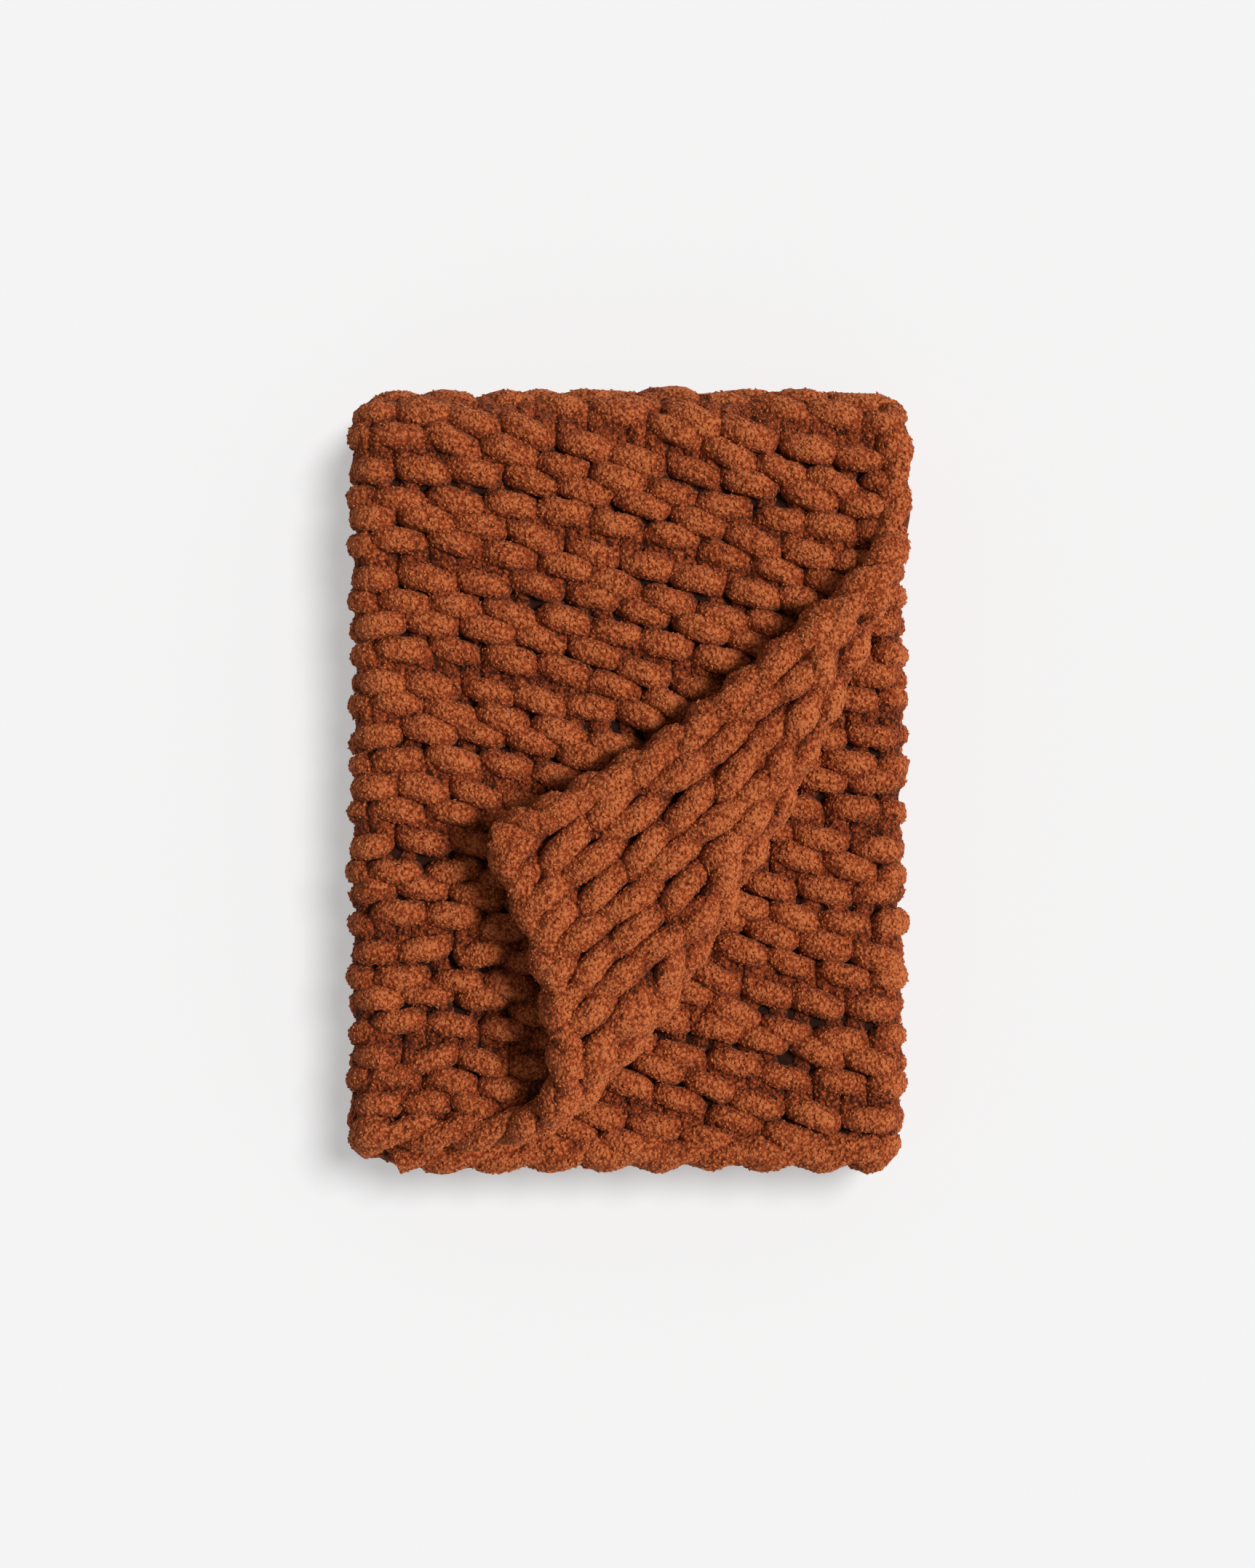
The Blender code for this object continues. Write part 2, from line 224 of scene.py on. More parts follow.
def cut_corner(x, y):
    """The turned corner is blunt: its point is drawn in to an arc."""
    edge_x, edge_y = PACKET_WIDTH / 2, NEAR_Y + SHORT_UPPER["outer"]
    in_x = np.clip((x - edge_x + CORNER_CUT) / CORNER_CUT, 0, 1)
    in_y = np.clip((edge_y + CORNER_CUT - y) / CORNER_CUT, 0, 1)
    pull = 0.293 * CORNER_CUT * in_x**1.5 * in_y**1.5
    return x - pull, y + pull


def turn_back(x, y, height):
    """The top ply with its corner rolled up, over and back down to lie on itself."""
    nearest, foot, past = past_roll(*cut_corner(x, y))
    _, outward, reach, rise = ROLL
    side, reach, rise = outward[nearest], reach[nearest], rise[nearest]
    angle = np.clip(past / reach, 0, math.pi)
    beyond = FLAP_SHRINK * np.clip(past - math.pi * reach, 0, None)
    rest = np.minimum(rise, FLAP_REST)
    sinking = np.exp(-((beyond / FLAP_SETTLES_OVER) ** 2))
    out = reach * np.sin(angle) - beyond + np.minimum(past, 0)
    up = np.where(beyond > 0, rest + (rise - rest) * sinking, rise / 2 * (1 - np.cos(angle)))
    slope = np.where(beyond > 0, -(rise - rest) * sinking * 2 * beyond / FLAP_SETTLES_OVER**2, 0)
    along_out = np.where(beyond > 0, -1, np.cos(angle))
    along_up = np.where(beyond > 0, slope, rise / (2 * reach) * np.sin(angle))
    size = np.hypot(along_out, along_up)
    out = out - height * along_up / size
    up = up + height * along_out / size
    return foot[:, 0] + out * side[:, 0], foot[:, 1] + out * side[:, 1], up


# %% [markdown]
# One function for the whole fold
#
# Everything below asks only this: where does this point of the flat cloth lie, and which way does
# the front of the knitting face there? The direction is measured by folding two more points, a
# millimetre in front and a millimetre behind.

# %% Place points of the cloth


def on_top(across, along):
    return (across < ACROSS_ENDS[1]) & (along < ALONG_ENDS[1])


def place(across, along, height):
    x, y, z = settle(*fold_flat(across, along, height))
    top = on_top(across, along)
    flat_x, flat_y, flat_z = settle(*fold_flat(across[top], along[top], np.zeros(top.sum())))
    x[top], y[top], up = turn_back(flat_x, flat_y, height[top])
    z[top] = flat_z + up
    return np.stack([x, y, z], axis=1)


def front_direction(across, along, probe=0.001):
    ahead = place(across, along, np.full_like(across, probe))
    behind = place(across, along, np.full_like(across, -probe))
    away = ahead - behind
    return away / np.linalg.norm(away, axis=1, keepdims=True)


def past_the_roll(across, along):
    """How far past the roll line each point of the cloth lies."""
    x, y, _ = settle(*fold_flat(across, along, np.zeros_like(across)))
    return past_roll(x, y)[2]


def ease(value, start, end):
    """0 up to start, 1 from end, and a smooth rise between."""
    share = np.clip((value - start) / (end - start), 0, 1)
    return share * share * (3 - 2 * share)


# %% [markdown]
# The path of one knitted row
#
# In plain knitting the yarn of a row waves up and down: up to a head, which is caught by the row
# above, and down to a foot, which passes through the row below. Heads and feet lie on the purl
# side and the legs between them on the knit side. So the path is a sum of a few sines, and the
# loops of neighbouring rows lock by themselves. The rows sink towards the right of the packet, as
# they do in the photo. Hand knitting is never even, so every head and foot is nudged a few
# millimetres, always by the same seeded numbers. Round the far fold the outer ply is stretched,
# and a fatter yarn keeps its rows closed.

# %% Stitch sizes and the row path
STITCHES = round(FLAT_WIDTH / 0.048)
ROWS = round(FLAT_LENGTH / 0.0494)
STITCH_WIDTH = FLAT_WIDTH / STITCHES
ROW_HEIGHT = FLAT_LENGTH / ROWS
YARN_RADIUS = 0.0114
LOOP_RISE = 0.75 * ROW_HEIGHT
LOOP_DEPTH = 0.0058
KNIT_DEPTH = 0.0088
FLAT_HEAD = 0.15
PURL_WAIST = 0.235 * STITCH_WIDTH
KNIT_WAIST = -0.035 * STITCH_WIDTH
PURL_LEAN = 0.0042
ROW_DROP = 0.088
POINTS_PER_STITCH = 36
EDGE_INSET = 0.011
OUTSIDE = 0.020
FOLD_SWELL = 0.28
UNEVEN_LEAN = 0.0024
UNEVEN_MIXED_LEAN = 0.0070
UNEVEN_ACROSS = 0.0038
UNEVEN_ALONG = 0.0026
UNEVEN_HEIGHT = 0.0016
UNEVEN_RADIUS = 0.10
rng = np.random.default_rng(7)


def uneven(position, spread):
    """A seeded nudge for each head and foot, eased between them."""
    count = int(position.max()) + 2
    values = rng.uniform(-spread, spread, count)
    whole = np.clip(position.astype(int), 0, count - 2)
    share = ease(position - whole, 0, 1)
    return values[whole] * (1 - share) + values[whole + 1] * share


def row_path(row):
    """Points of one row in the flat cloth, the yarn's radius there, and which of them are kept."""
    stitch = np.linspace(0, STITCHES, STITCHES * POINTS_PER_STITCH + 1)
    phase = 2 * math.pi * stitch - math.pi
    across = stitch * STITCH_WIDTH
    along = np.full_like(across, (row + 0.5) * ROW_HEIGHT)
    top = on_top(across, along)
    turned = ease(past_the_roll(across, along), 0.010, 0.060) * top
    x, y, _ = settle(*fold_flat(across, along, np.zeros_like(across)))
    along = along - ROW_DROP * ease(x, -0.190, 0.230)
    beside = np.maximum(ease(x, 0.150, 0.235), ease(-x, 0.165, 0.225))
    lean = PURL_LEAN * (1 - 0.85 * beside) + uneven(2 * stitch, UNEVEN_LEAN)
    mixed = ease(-x, -0.02, 0.10) * ease(-y, 0.02, 0.14) * top
    lean = lean * (1 - mixed) + mixed * uneven(stitch, UNEVEN_MIXED_LEAN)
    lean = lean * (1 - turned)
    waist = PURL_WAIST * (1 - turned) + KNIT_WAIST * turned
    wave = (np.cos(phase) - FLAT_HEAD * np.cos(3 * phase)) / (1 - FLAT_HEAD)
    across = across + waist * np.sin(2 * phase) + uneven(2 * stitch, UNEVEN_ACROSS)
    across = across + 0.004 * np.sin(17 * along + 6 * across)
    along = along + LOOP_RISE * wave + lean * np.sin(2 * phase) + uneven(2 * stitch, UNEVEN_ALONG)
    along = along + 0.0045 * np.sin(14 * across + 9 * row)
    depth = LOOP_DEPTH * (1 - turned) + KNIT_DEPTH * turned
    height = depth * np.cos(2 * phase) + uneven(2 * stitch, UNEVEN_HEIGHT)
    kept = (along > -OUTSIDE / 2) & (along < FLAT_LENGTH + OUTSIDE / 2)
    across = np.clip(across, EDGE_INSET, FLAT_WIDTH - EDGE_INSET)
    along = np.clip(along, EDGE_INSET, FLAT_LENGTH - EDGE_INSET)
    swell = 0.05 * np.cos(2 * phase) * (1 - 2 * turned) + uneven(2 * stitch, UNEVEN_RADIUS)
    radius = YARN_RADIUS * (1 + swell)
    outer = across < ACROSS_ENDS[1] + LEFT_TURN / 2
    radius = radius * (1 + FOLD_SWELL * outer * np.sin(turn_angle(along, ALONG_ENDS[1], FAR_TURN)))
    return across, along, height, radius, kept


print(f"{ROWS} rows of {STITCHES} stitches, each {1000 * STITCH_WIDTH:.1f} by {1000 * ROW_HEIGHT:.1f} mm")

# %% [markdown]
# The legs on the turned corner
#
# The corner shows the back of the knitting, columns of legs in V shapes. The soft cloth pulls
# itself straight as it turns over, so on the real corner all the columns run up to the right,
# whichever way the roll line bends below them. So these rows are drawn in the plan, as the eye
# sees them, and each point is laid back into the flat cloth by undoing the roll. Round the side
# of the roll lie the last columns, which follow it, so they are drawn as strands along the roll.

# %% Rows of the turned corner
COLUMN_SLOPE = math.radians(42)
CORNER_MIDDLE = (0.045, -0.080)
CORNER_ROWS = 9
CORNER_STITCHES = 7
LEG_RISE = 0.66 * ROW_HEIGHT
LEG_DEPTH = 0.0066
LEG_TUCK = 0.0040
LEG_STAGGER = 0.007
LEG_WAIST = 0.055 * STITCH_WIDTH
BEHIND_RIDGE = 0.011
RIDGE_TUCK = 0.004
RIDGE_DEPTH = 0.004


def cloth_at(target):
    """The point of the flat cloth that lies at each place of the packet before its corner is turned."""
    across = FREE_EDGE_X - target[:, 0]
    along = target[:, 1] - NEAR_Y - SHORT_UPPER["outer"]
    for _ in range(4):
        now_x, now_y, _ = settle(*fold_flat(across, along, np.zeros_like(across)))
        now_x, now_y = cut_corner(now_x, now_y)
        across, along = across + now_x - target[:, 0], along + target[:, 1] - now_y
    return across, along


def unroll(x, y):
    """The point of the flat cloth at this place of the turned corner's plan, and how far behind the ridge."""
    start, outward, reach, _ = ROLL
    points = np.stack([x, y], axis=1)
    nearest = np.array([np.argmin(((start - point) ** 2).sum(axis=1)) for point in points], int)
    inward = -((points - start[nearest]) * outward[nearest]).sum(axis=1)
    bend = np.arcsin(np.clip(-inward / reach[nearest], 0, 1))
    on_roll = reach[nearest] * (math.pi - bend)
    past = np.where(inward > 0, math.pi * reach[nearest] + inward / FLAP_SHRINK, on_roll)
    across, along = cloth_at(points + (inward + past)[:, None] * outward[nearest])
    return across, along, inward + reach[nearest] - BEHIND_RIDGE


def corner_row(row):
    """One row of legs on the turned corner, and which of its points lie on the cloth."""
    stitch = np.linspace(0, 2 * CORNER_STITCHES, 2 * CORNER_STITCHES * POINTS_PER_STITCH + 1)
    phase = 2 * math.pi * stitch
    sideways = (stitch - CORNER_STITCHES) * STITCH_WIDTH + LEG_WAIST * np.sin(2 * phase)
    sideways = sideways + uneven(2 * stitch, 0.0030)
    upward = row * ROW_HEIGHT + LEG_RISE * np.cos(phase) + LEG_STAGGER * np.sin(phase)
    upward = upward + uneven(2 * stitch, 0.0034)
    upward = upward + 0.006 * np.sin(11 * sideways + row)
    sideways = sideways + 0.004 * np.sin(16 * upward + 2 * row)
    x = CORNER_MIDDLE[0] + upward * math.cos(COLUMN_SLOPE) - sideways * math.sin(COLUMN_SLOPE)
    y = CORNER_MIDDLE[1] + upward * math.sin(COLUMN_SLOPE) + sideways * math.cos(COLUMN_SLOPE)
    across, along, inside = unroll(x, y)
    seen = (inside > 0) & (across > -OUTSIDE) & (along > -OUTSIDE)
    across, along = np.maximum(across, EDGE_INSET), np.maximum(along, EDGE_INSET)
    height = LEG_DEPTH * np.cos(2 * phase) + LEG_TUCK * np.cos(phase) + uneven(2 * stitch, UNEVEN_HEIGHT)
    height = height + RIDGE_TUCK * (1 - ease(inside, 0, 0.014))
    radius = YARN_RADIUS * (1.08 - 0.07 * np.cos(2 * phase) + uneven(2 * stitch, 0.08))
    return across, along, height, radius, seen


def ridge_strand(offset, turn):
    """One strand of the column that lies along the top of the roll, and which of it is on the cloth."""
    start, outward, reach, _ = ROLL
    run = np.linspace(0, ROLL_LENGTH, ROLL_SAMPLES)
    phase = math.pi * (run / ROW_HEIGHT + turn)
    past = math.pi / 2 * reach + offset + 0.004 * np.sin(phase) + uneven(run / ROW_HEIGHT, 0.003)
    target = start + past[:, None] * outward
    across, along = cloth_at(target)
    seen = (across > 0) & (along > 0) & (past > 0)
    height = -0.003 - RIDGE_DEPTH * np.cos(2 * phase)
    radius = YARN_RADIUS * (1.10 + 0.08 * np.cos(2 * phase) + uneven(2 * run / ROW_HEIGHT, 0.08))
    return np.maximum(across, EDGE_INSET), np.maximum(along, EDGE_INSET), height, radius, seen


# %% [markdown]
# The four edges
#
# A chunky blanket is cast on and bound off with a chain, which looks like two strands twisted
# round each other, and its first and last stitch of every row make the same kind of cord down the
# sides. So each edge gets two strands that take half a turn for each stitch.

# %% Edge strands
EDGE_RADIUS = 0.0120
EDGE_TWIST = 0.0062
EDGE_LIFT = 0.014


def edge_path(far_side, lengthways, strand):
    """One of the two strands of an edge, in the flat cloth."""
    length, pitch = (FLAT_LENGTH, ROW_HEIGHT) if lengthways else (FLAT_WIDTH, STITCH_WIDTH)
    reach = FLAT_WIDTH if lengthways else FLAT_LENGTH
    run = np.linspace(EDGE_INSET, length - EDGE_INSET, int(length / pitch * POINTS_PER_STITCH))
    turn = math.pi * (run / pitch + strand) + uneven(2 * run / pitch, 0.25)
    inset = EDGE_INSET + EDGE_TWIST * np.cos(turn)
    side = reach - inset if far_side else inset
    height = EDGE_TWIST * np.sin(turn)
    across, along = (side, run) if lengthways else (run, side)
    radius = EDGE_RADIUS * (1 + 0.14 * np.cos(2 * turn) + uneven(run / pitch, 0.06))
    return across, along, height, radius


# %% [markdown]
# Sorting the yarn by how well it is seen
#
# The blanket holds about 210 m of yarn. What shows from above gets a fine tube, the folds at the
# sides a plainer one, and the plies shut inside the packet the plainest, so that the whole thing
# stays light. Each path is cut into stretches, one piece of the scene for each kind.

# %% Groups of yarn
# name: step along the yarn in metres, sides of the tube
GROUPS = {
    "field": (0.0046, 12),
    "corner": (0.0042, 12),
    "bared": (0.0046, 12),
    "sides": (0.0070, 8),
    "underside": (0.0100, 6),
    "within": (0.0180, 5),
}
NAMES = list(GROUPS)
SIDE_DEPTH = 0.044


def sort_points(across, along, points):
    """The group of each point of a path, as an index into NAMES."""
    past = past_the_roll(across, along)
    outer, middle = across < ACROSS_ENDS[1] + 0.45 * LEFT_TURN, across > ACROSS_ENDS[3] + 0.5 * RIGHT_TURN
    upper, lower = along < ALONG_ENDS[1] + 0.35 * FAR_TURN, along > ALONG_ENDS[2]
    from_side = PACKET_WIDTH / 2 - np.abs(points[:, 0])
    from_side = np.minimum(from_side, PACKET_LENGTH / 2 - np.abs(points[:, 1]))
    group = np.full(len(across), NAMES.index("within"))
    group[from_side < SIDE_DEPTH] = NAMES.index("sides")
    group[outer] = NAMES.index("sides")
    group[outer & lower & (from_side > SIDE_DEPTH / 2)] = NAMES.index("underside")
    group[middle & upper & (past > -0.030)] = NAMES.index("bared")
    group[outer & upper] = NAMES.index("field")
    group[outer & upper & (past > 0)] = NAMES.index("corner")
    return group


def way_out(across, along, height, edge):
    """Which way is out of the blanket at each point, and how far out of the cloth's middle it lies."""
    turned = on_top(across, along) & (past_the_roll(across, along) > 0.012)
    side = np.where(turned, -1, 1)
    out = front_direction(across, along) * side[:, None]
    lift = height * side
    if edge:
        return 0 * out, np.full_like(lift, EDGE_LIFT)
    return out, lift


HANDOVER = 0.012
EXTRA_ROWS = 2
# how far each strand lies past the top of the roll, and where its lobes start
RIDGE = ((-0.048, 0.5), (-0.030, 0.0), (-0.012, 0.5), (0.006, 0.0), (0.024, 0.5))
paths = []
for row in range(ROWS + EXTRA_ROWS):
    across, along, height, radius, kept = row_path(row)
    kept = kept & ~(on_top(across, along) & (past_the_roll(across, along) > HANDOVER))
    paths.append((across, along, height, radius, kept, False))
for row in range(-CORNER_ROWS, CORNER_ROWS + 1):
    paths.append((*corner_row(row), False))
for offset, turn in RIDGE:
    paths.append((*ridge_strand(offset, turn), False))
for far_side in (False, True):
    for lengthways in (False, True):
        for strand in (0, 1):
            across, along, height, radius = edge_path(far_side, lengthways, strand)
            paths.append((across, along, height, radius, np.full(len(across), True), True))
print(len(paths), "lengths of yarn")

# %% [markdown]
# Cutting the paths into stretches
#
# Each path is folded with the cloth, and cut wherever its group changes. On the outside of a real
# packet the loops are pressed flatter by its own weight, so points beyond a limit are drawn in.

# %% Cut the paths into stretches
LEFT_OUT = -1
SIDE_LIMIT = 0.226
END_LIMIT = 0.322
SIDE_PRESS = 0.28


def press_in(points):
    """The stitches round the outside of the packet are pressed flatter than the others."""
    for axis, limit in ((0, SIDE_LIMIT), (1, END_LIMIT)):
        over = np.clip(np.abs(points[:, axis]) - limit, 0, None)
        points[:, axis] -= np.sign(points[:, axis]) * SIDE_PRESS * over
    return points


stretches = {name: [] for name in NAMES}
for across, along, height, radius, kept, edge in paths:
    points = press_in(place(across, along, height))
    out, lift = way_out(across, along, height, edge)
    group = np.where(kept, sort_points(across, along, points), LEFT_OUT)
    cuts = [0, *(np.flatnonzero(np.diff(group)) + 1), len(group)]
    for start, end in zip(cuts[:-1], cuts[1:]):
        if group[start] == LEFT_OUT:
            continue
        stretch = slice(max(start - 1, 0), min(end + 1, len(group)))
        part = (points[stretch], radius[stretch], out[stretch], lift[stretch])
        stretches[NAMES[group[start]]].append(part)
for name in NAMES:
    length = sum(np.linalg.norm(np.diff(part[0], axis=0), axis=1).sum() for part in stretches[name])
    print(f"{name}: {len(stretches[name])} stretches, {length:.1f} m of yarn")

# %% [markdown]
# A helper that adds a node
#
# Both the shapes and the materials below are node trees. One small function adds a node, sets its
# own options, and fills its inputs with a value or with a link from another node. An input is
# named by its identifier or by its label.

# %% Node helper


def add(tree, kind, inputs=None, **settings):
    node = tree.nodes.new(kind)
    for name, value in settings.items():
        setattr(node, name, value)
    for key, value in (inputs or {}).items():
        socket = next((s for s in node.inputs if s.identifier == key), None) or node.inputs[key]
        if isinstance(value, bpy.types.NodeSocket):
            tree.links.new(value, socket)
        else:
            socket.default_value = value
    return node


def new_tree(name, inputs):
    """An empty Geometry Nodes tree with named inputs, and a geometry input and output."""
    tree = bpy.data.node_groups.new(name, "GeometryNodeTree")
    tree.interface.new_socket("Geometry", in_out="INPUT", socket_type="NodeSocketGeometry")
    for label, kind in inputs.items():
        tree.interface.new_socket(label, in_out="INPUT", socket_type=f"NodeSocket{kind}")
    tree.interface.new_socket("Geometry", in_out="OUTPUT", socket_type="NodeSocketGeometry")
    return tree, add(tree, "NodeGroupInput").outputs


def run_tree(obj, tree, values):
    """Runs a tree on an object and keeps the result as its plain mesh."""
    modifier = obj.modifiers.new(tree.name, "NODES")
    modifier.node_group = tree
    for item in tree.interface.items_tree:
        if item.in_out == "INPUT" and item.name in values:
            modifier[item.identifier] = values[item.name]
    evaluated = obj.evaluated_get(bpy.context.evaluated_depsgraph_get())
    mesh = bpy.data.meshes.new_from_object(evaluated)
    obj.modifiers.remove(modifier)
    obj.data = mesh
    mesh.name = obj.name
    return obj


# %% [markdown]
# The colour of the chenille
#
# The yarn is polyester chenille: short fibres caught between two fine threads, dyed a warm rust.
# The tips of the pile catch the light and the roots between them lie in shade, and that light and
# shade is painted into the colour: points that lie deep in the cloth get painted shade, points that
# stand out and the tips of the pile grains get a painted highlight, and the pile is painted lighter
# than the yarn. Each tuft-sized spot also gets a colour from dark to light at random. The tufts
# curl: a Voronoi pattern on coordinates that noise has bent gives their dark outlines, which are
# painted shade between the tufts, and their bumps. The fibres scatter light at their tips, which
# is what the sheen of the shader is for, and they hardly shine, so it is rough.

# %% Chenille materials
MM = 0.001


def linear(code):
    """An sRGB hex colour as the linear colour that a shader takes."""
    parts = [int(code[i : i + 2], 16) / 255 for i in (1, 3, 5)]
    curve = [part / 12.92 if part <= 0.04045 else ((part + 0.055) / 1.055) ** 2.4 for part in parts]
    return (*curve, 1.0)


def chenille(name, dark, middle, light, spot, bump, base, tip_highlight_share):
    """Polyester chenille: patches a few centimetres wide, and spots the size of its tufts."""
    material = bpy.data.materials.new(name)
    material.use_nodes = True
    tree = material.node_tree
    shader = tree.nodes["Principled BSDF"]
    place_on = add(tree, "ShaderNodeTexCoord").outputs["Object"]
    patches = add(tree, "ShaderNodeTexNoise",
                  {"Vector": place_on, "Scale": 1 / (45 * MM), "Detail": 2.0})
    spots = add(tree, "ShaderNodeTexNoise",
                {"Vector": place_on, "Scale": 1 / spot, "Detail": 3.0, "Roughness": 0.6})
    swirls = add(tree, "ShaderNodeTexNoise", {"Vector": place_on, "Scale": 1 / (4 * MM), "Detail": 1.0})
    centred = add(tree, "ShaderNodeVectorMath",
                  {"Vector": swirls.outputs["Color"], "Vector_001": (0.5, 0.5, 0.5)},
                  operation="SUBTRACT")
    bent = add(tree, "ShaderNodeVectorMath",
               {"Vector": centred.outputs[0], "Vector_001": (spot, spot, spot), "Vector_002": place_on},
               operation="MULTIPLY_ADD")
    # Painted shade between the tufts: the colour darkens towards the outlines of these cells, which also give
    # the bumps.
    tufts = add(tree, "ShaderNodeTexVoronoi", {"Vector": bent.outputs[0], "Scale": 1 / spot})
    both = add(tree, "ShaderNodeMath",
               {"Value": patches.outputs["Fac"], "Value_001": 0.30, "Value_002": spots.outputs["Fac"]},
               operation="MULTIPLY_ADD")
    mixed = add(tree, "ShaderNodeMath",
                {"Value": tufts.outputs["Distance"], "Value_001": -0.75, "Value_002": both.outputs[0]},
                operation="MULTIPLY_ADD")
    # Painted shade: the deeper a point lies in the cloth, between the stitches, the darker its colour; the
    # further out, the lighter.
    depth = add(tree, "ShaderNodeAttribute", attribute_name="depth").outputs["Fac"]
    raised = add(tree, "ShaderNodeMapRange",
                 {"Value": depth, "From Min": 0.0, "From Max": 16 * MM}, clamp=True)
    # Painted highlight: the tips of the pile grains are made lighter than their bases, by a share given for
    # each material.
    tip = add(tree, "ShaderNodeAttribute", attribute_name="tip").outputs["Fac"]
    spotted = add(tree, "ShaderNodeMath",
                  {"Value": mixed.outputs[0], "Value_001": 0.75, "Value_002": base},
                  operation="MULTIPLY_ADD")
    tone_with_painted_shade = add(tree, "ShaderNodeMath",
               {"Value": raised.outputs[0], "Value_001": 0.38, "Value_002": spotted.outputs[0]},
               operation="MULTIPLY_ADD")
    tone_with_tip_highlight = add(tree, "ShaderNodeMath",
                 {"Value": tip, "Value_001": tip_highlight_share, "Value_002": tone_with_painted_shade.outputs[0]},
                 operation="MULTIPLY_ADD")
    ramp = add(tree, "ShaderNodeValToRGB", {"Fac": tone_with_tip_highlight.outputs[0]})
    ramp.color_ramp.elements[0].position = 0.20
    ramp.color_ramp.elements[0].color = linear(dark)
    ramp.color_ramp.elements[1].position = 0.72
    ramp.color_ramp.elements[1].color = linear(light)
    ramp.color_ramp.elements.new(0.5).color = linear(middle)
    relief = add(tree, "ShaderNodeBump",
                 {"Height": mixed.outputs[0], "Strength": bump, "Distance": 1.8 * MM})
    tree.links.new(ramp.outputs["Color"], shader.inputs["Base Color"])
    tree.links.new(relief.outputs["Normal"], shader.inputs["Normal"])
    shader.inputs["Roughness"].default_value = 0.95
    shader.inputs["Specular IOR Level"].default_value = 0.2
    shader.inputs["Sheen Weight"].default_value = 0.35
    shader.inputs["Sheen Roughness"].default_value = 0.55
    shader.inputs["Sheen Tint"].default_value = linear("#E08A5A")
    return material


# The pile's colours are lighter than the yarn's as a painted highlight on the tips, and the darkest colours
# of both are painted shade.
YARN_FINISH = chenille("chenille_yarn_with_painted_shade", "#2C0D03", "#8C3814", "#BC683A", 3.6 * MM, 1.0, 0.03, 0.0)
PILE_FINISH = chenille("chenille_pile_with_painted_highlight", "#3C1305", "#9C431B", "#C4703A", 6.0 * MM, 0.3, -0.08, 0.25)
SHADE_FINISH = chenille("chenille_yarn_in_shade", "#1C0802", "#2E0E04", "#3E1608", 5.0 * MM, 0.5, 0.06, 0.0)

# %% [markdown]
# Spinning the yarn
#
# The yarn could be a curve with a bevel, but its thickness should also swell and pinch. So a
# Geometry Nodes tree takes the paths, spaces their points evenly, sweeps a round outline along
# them, and then pushes the skin in and out with two sizes of noise: soft lumps where the pile
# bunches, and small ones where single tufts stand up.

